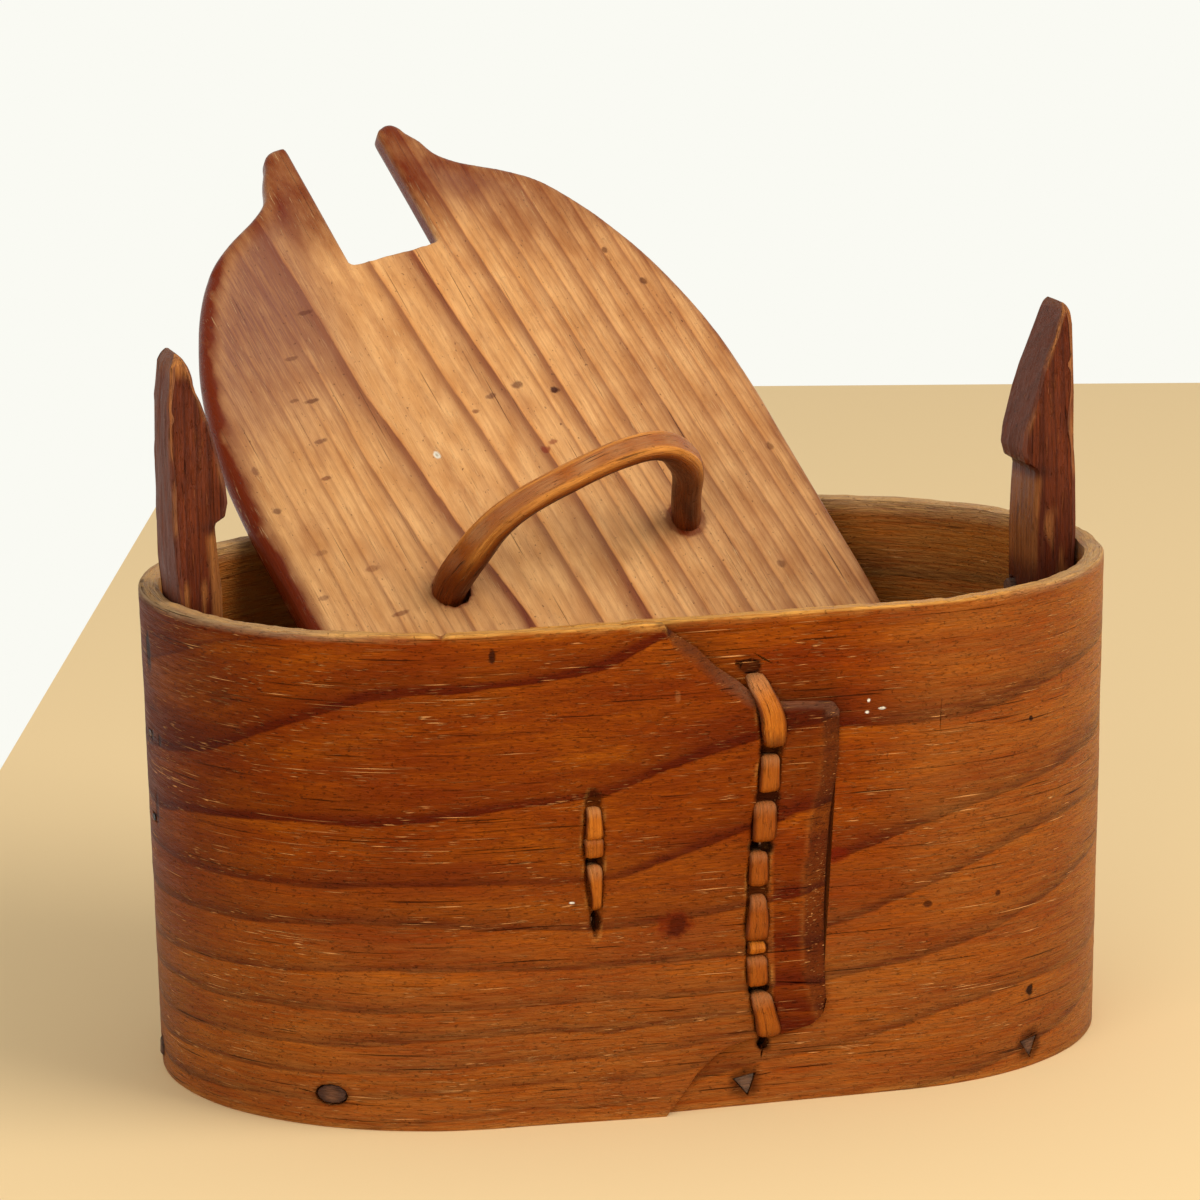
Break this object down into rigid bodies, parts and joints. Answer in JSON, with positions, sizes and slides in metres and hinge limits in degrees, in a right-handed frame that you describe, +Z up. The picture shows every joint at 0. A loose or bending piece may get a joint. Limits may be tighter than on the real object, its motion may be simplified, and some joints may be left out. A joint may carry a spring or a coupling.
{
  "type": "norwegian tine box",
  "caption": "Oval bent-wood box with a root-laced overlap, pegged bottom board and hooked end uprights; its notched lid with a bent branch handle stands crosswise in the open box.",
  "frame": {"origin": "middle of the base, on the surface the box stands on", "axes": "+X along the box's length, +Y from the lapped front wall to the back wall, +Z up"},
  "size_m": [0.23, 0.2142, 0.2038],
  "materials": {
    "band_wood": "old oiled bare wood, satin where worn",
    "board_wood": "old oiled bare wood, satin where worn",
    "root": "peeled split root, dull",
    "upright_wood": "old oiled bare wood, satin where worn",
    "peg_wood": "old oiled bare wood, satin where worn",
    "lid_wood": "old oiled bare wood, satin where worn",
    "handle_wood": "old oiled bare wood, satin where worn",
    "wedge_wood": "old oiled bare wood, satin where worn"
  },
  "bodies": {
    "box": {"side_band": "band_wood", "bottom_board": "board_wood", "main_lacing": "root", "short_lacing": "root", "left_upright_peg": "peg_wood", "right_upright_peg": "peg_wood", "left_root_tie": "root", "right_root_tie": "root", "base_peg_1": "peg_wood", "base_peg_2": "peg_wood", "base_peg_3": "peg_wood", "base_peg_4": "peg_wood", "base_peg_5": "peg_wood", "base_peg_6": "peg_wood", "base_peg_7": "peg_wood", "base_peg_8": "peg_wood"},
    "left_upright": {"left_upright": "upright_wood"},
    "right_upright": {"right_upright": "upright_wood"},
    "lid": {"lid_board": "lid_wood", "lid_handle": "handle_wood", "handle_wedge_left": "wedge_wood", "handle_wedge_right": "wedge_wood"}
  },
  "joints": [
    {"name": "lid_lift", "type": "slide", "parent": "box", "child": "lid", "axis": [-0.2564, 0.6802, 0.6867], "range_m": [0, 0.16]},
    {"name": "left_upright_flex", "type": "hinge", "parent": "box", "child": "left_upright", "pos_m": [-0.103, 0, 0.101], "axis": [0, -1, 0], "range_deg": [0, 4], "stiffness_Nm_per_rad": 3, "deforming": ["left_upright"]},
    {"name": "right_upright_flex", "type": "hinge", "parent": "box", "child": "right_upright", "pos_m": [0.103, 0, 0.101], "axis": [0, 1, 0], "range_deg": [0, 4], "stiffness_Nm_per_rad": 3, "deforming": ["right_upright"]}
  ]
}
